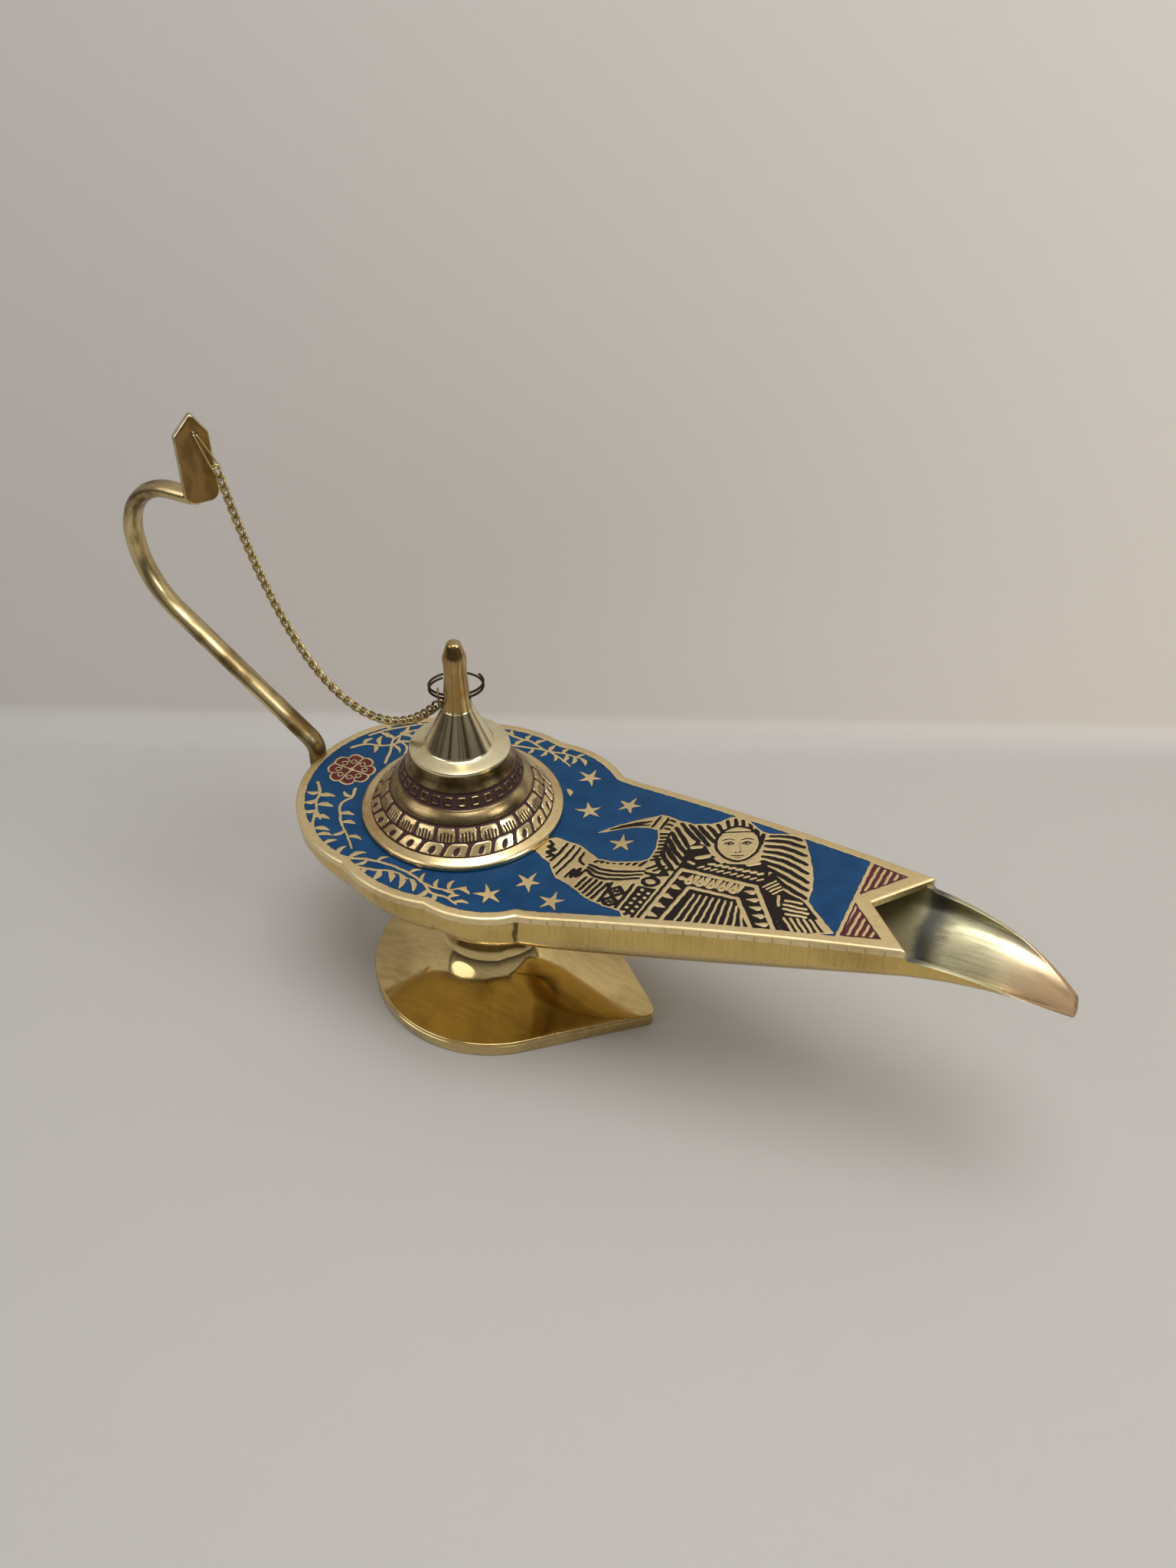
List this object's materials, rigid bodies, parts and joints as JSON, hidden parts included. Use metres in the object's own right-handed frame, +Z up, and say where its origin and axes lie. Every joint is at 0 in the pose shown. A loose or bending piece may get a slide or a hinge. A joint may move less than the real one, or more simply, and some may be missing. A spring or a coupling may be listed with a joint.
{
  "type": "oil lamp",
  "caption": "Genie-style brass oil lamp: lobed bowl and long open spout under an enamelled cover plate, lift-off domed lid tethered by a fine chain to a hooked handle, on a toed foot.",
  "frame": {"origin": "on the floor under the foot, at the middle of the lamp's length and width", "axes": "+X along the spout towards its tip, +Z up, +Y to the left of someone looking along the spout"},
  "size_m": [0.2814, 0.0826, 0.1636],
  "materials": {
    "polished_brass": "polished, lightly worn",
    "engraved_brass": "engraved, with dark infill in the lines",
    "blue_enamel": "glossy, slightly uneven",
    "red_enamel": "glossy, slightly uneven",
    "dark_bronze": "darkened wire",
    "chain_brass": "drawn wire, dulled"
  },
  "bodies": {
    "lamp": {"foot": "polished_brass", "foot_screw": "polished_brass", "foot_washer": "polished_brass", "bowl": "polished_brass", "spout": "polished_brass", "deck_plate": "engraved_brass", "blue_enamel": "blue_enamel", "red_enamel": "red_enamel", "handle": "polished_brass", "thumb_tab": "polished_brass", "chain_eye": "chain_brass", "chain": "chain_brass"},
    "lid": {"lid_dome": "engraved_brass", "lid_cone": "polished_brass", "lid_finial": "polished_brass", "lid_washer": "polished_brass", "lid_nut": "polished_brass", "jump_ring": "chain_brass"},
    "ring": {"finial_ring": "dark_bronze"}
  },
  "joints": [
    {"name": "lid_lift", "type": "slide", "parent": "lamp", "child": "lid", "axis": [0, 0, 1], "range_m": [0, 0.03], "deforming": ["chain"]},
    {"name": "ring_swing", "type": "hinge", "parent": "lid", "child": "ring", "pos_m": [-0.03155, 0, 0.1], "axis": [0.8387, 0.5446, 0], "range_deg": [-40, 60], "deforming": ["chain"]}
  ]
}
